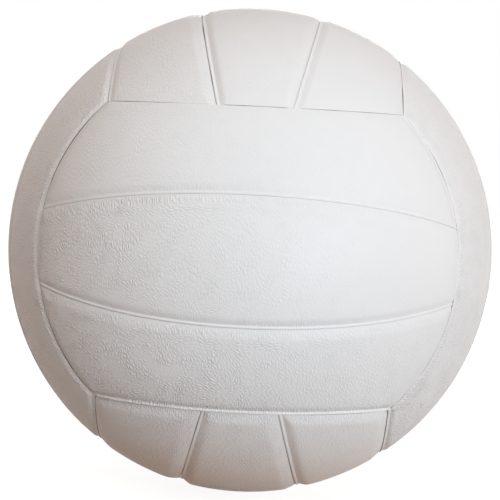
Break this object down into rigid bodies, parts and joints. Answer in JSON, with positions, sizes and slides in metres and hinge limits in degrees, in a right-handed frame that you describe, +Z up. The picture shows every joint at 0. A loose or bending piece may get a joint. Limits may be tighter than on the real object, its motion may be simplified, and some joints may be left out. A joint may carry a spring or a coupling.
{
  "type": "volleyball",
  "caption": "Inflatable leather game ball: a glued cover of crosswise strip panels over foam backing, wound carcass and bladder, with a needle valve.",
  "frame": {"origin": "centre of the ball", "axes": "+Z up, -Y towards the viewer of the picture, +X to that viewer's right; the valve is at the middle of the back, on +Y"},
  "size_m": [0.21, 0.2099, 0.21],
  "materials": {
    "cover_leather": "white pebbled leather, soft satin",
    "backing_cloth": "cream foam faced with cotton cloth",
    "casing_rubber": "matt moulded rubber",
    "winding_yarn": "wound yarn set in latex",
    "bladder_rubber": "smooth black butyl rubber",
    "valve_rubber": "matt light grey rubber",
    "plug_rubber": "matt dark grey rubber",
    "patch_rubber": "matt black rubber"
  },
  "bodies": {
    "root": {"panel_front_lower": "cover_leather", "panel_front_middle": "cover_leather", "panel_front_upper": "cover_leather", "panel_back_lower": "cover_leather", "panel_back_middle": "cover_leather", "panel_back_upper": "cover_leather", "panel_top_right": "cover_leather", "panel_top_middle": "cover_leather", "panel_top_left": "cover_leather", "panel_bottom_left": "cover_leather", "panel_bottom_middle": "cover_leather", "panel_bottom_right": "cover_leather", "panel_left_front": "cover_leather", "panel_left_middle": "cover_leather", "panel_left_back": "cover_leather", "panel_right_back": "cover_leather", "panel_right_middle": "cover_leather", "panel_right_front": "cover_leather", "backing_front_lower": "backing_cloth", "backing_front_middle": "backing_cloth", "backing_front_upper": "backing_cloth", "backing_back_lower": "backing_cloth", "backing_back_middle": "backing_cloth", "backing_back_upper": "backing_cloth", "backing_top_right": "backing_cloth", "backing_top_middle": "backing_cloth", "backing_top_left": "backing_cloth", "backing_bottom_left": "backing_cloth", "backing_bottom_middle": "backing_cloth", "backing_bottom_right": "backing_cloth", "backing_left_front": "backing_cloth", "backing_left_middle": "backing_cloth", "backing_left_back": "backing_cloth", "backing_right_back": "backing_cloth", "backing_right_middle": "backing_cloth", "backing_right_front": "backing_cloth", "rubber_casing": "casing_rubber", "yarn_winding": "winding_yarn", "bladder": "bladder_rubber", "valve_housing": "valve_rubber", "valve_plug": "plug_rubber", "balance_patch": "patch_rubber"}
  },
  "joints": []
}
